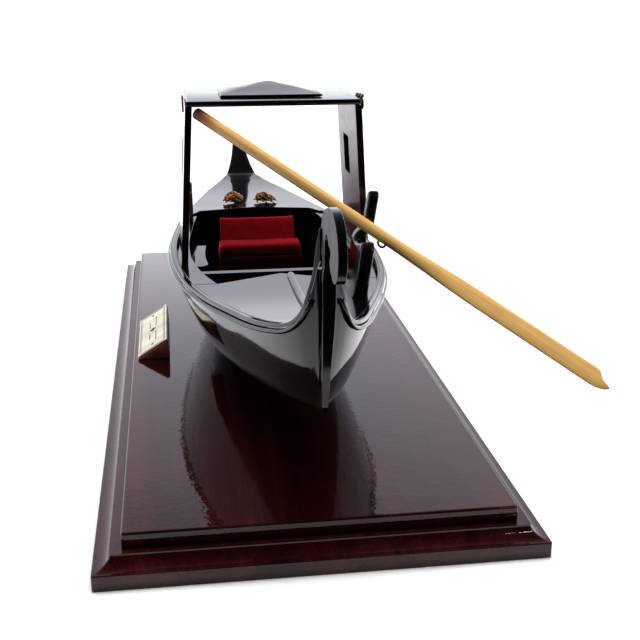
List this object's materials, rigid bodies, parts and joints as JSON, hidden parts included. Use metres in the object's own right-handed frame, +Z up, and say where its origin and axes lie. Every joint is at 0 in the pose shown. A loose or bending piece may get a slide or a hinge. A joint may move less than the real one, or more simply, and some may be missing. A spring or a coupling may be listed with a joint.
{
  "type": "model gondola",
  "caption": "Lacquered display model of a rowing gondola with an open cabin, padded seat and oar on its rest, screwed to a two-tier moulded wooden base with a nameplate.",
  "frame": {"origin": "centre of the base's bottom face", "axes": "+Y along the boat towards the prow, +X to starboard, +Z up"},
  "size_m": [0.2447, 0.599, 0.1847],
  "materials": {
    "black_lacquer": "high-gloss black lacquer over carved wood",
    "mahogany": "dark mahogany, high-gloss varnish",
    "zinc_steel": "zinc-plated wood screw",
    "raw_wood": "sawn, unfinished",
    "rosewood": "satin, reddish end grain",
    "brass": "satin plate with thin engraved border lines",
    "dark_maroon": "dark maroon lacquer",
    "red_velvet": "short-pile red velvet",
    "dark_gilt": "dark patinated gilding",
    "gilt_bronze": "coppery gilding with dark hollows",
    "walnut": "oiled, carved faces",
    "pale_wood": "varnished tan wood, dark at the handle",
    "dark_wire": "darkened bent wire"
  },
  "bodies": {
    "root": {"aft_deck": "black_lacquer", "back_cushion": "red_velvet", "board_screw_1": "zinc_steel", "board_screw_2": "zinc_steel", "board_screw_3": "zinc_steel", "board_screw_4": "zinc_steel", "bow_oar_rest": "walnut", "cabin_roof": "black_lacquer", "cabin_wall_port": "black_lacquer", "cabin_wall_starboard": "black_lacquer", "cockpit_floor": "black_lacquer", "crossbeam": "black_lacquer", "deck_batten": "black_lacquer", "deck_carving_port": "gilt_bronze", "deck_carving_starboard": "gilt_bronze", "fore_deck": "black_lacquer", "gunwale_cap_port": "black_lacquer", "gunwale_cap_starboard": "black_lacquer", "hull": "black_lacquer", "hull_screw_1": "zinc_steel", "hull_screw_2": "zinc_steel", "mounting_block_1": "raw_wood", "mounting_block_2": "raw_wood", "nameplate": "brass", "nameplate_wedge": "rosewood", "plinth": "mahogany", "prow_post": "black_lacquer", "roof_peak": "black_lacquer", "roof_scroll_port": "dark_gilt", "roof_scroll_starboard": "dark_gilt", "rub_rail_port": "black_lacquer", "rub_rail_starboard": "black_lacquer", "seat_box": "dark_maroon", "seat_cushion": "red_velvet", "side_bench_port": "black_lacquer", "side_bench_starboard": "black_lacquer", "side_deck_port": "black_lacquer", "side_deck_starboard": "black_lacquer", "stern_oar_rest": "black_lacquer", "stern_post": "black_lacquer", "top_board": "mahogany"},
    "oar": {"oar": "pale_wood", "oar_wire_eye": "dark_wire"}
  },
  "joints": [
    {"name": "oar_feather", "type": "hinge", "parent": "root", "child": "oar", "pos_m": [0.0427, -0.108, 0.1182], "axis": [0.6999, -0.5758, -0.4225], "range_deg": [-90, 90]}
  ]
}
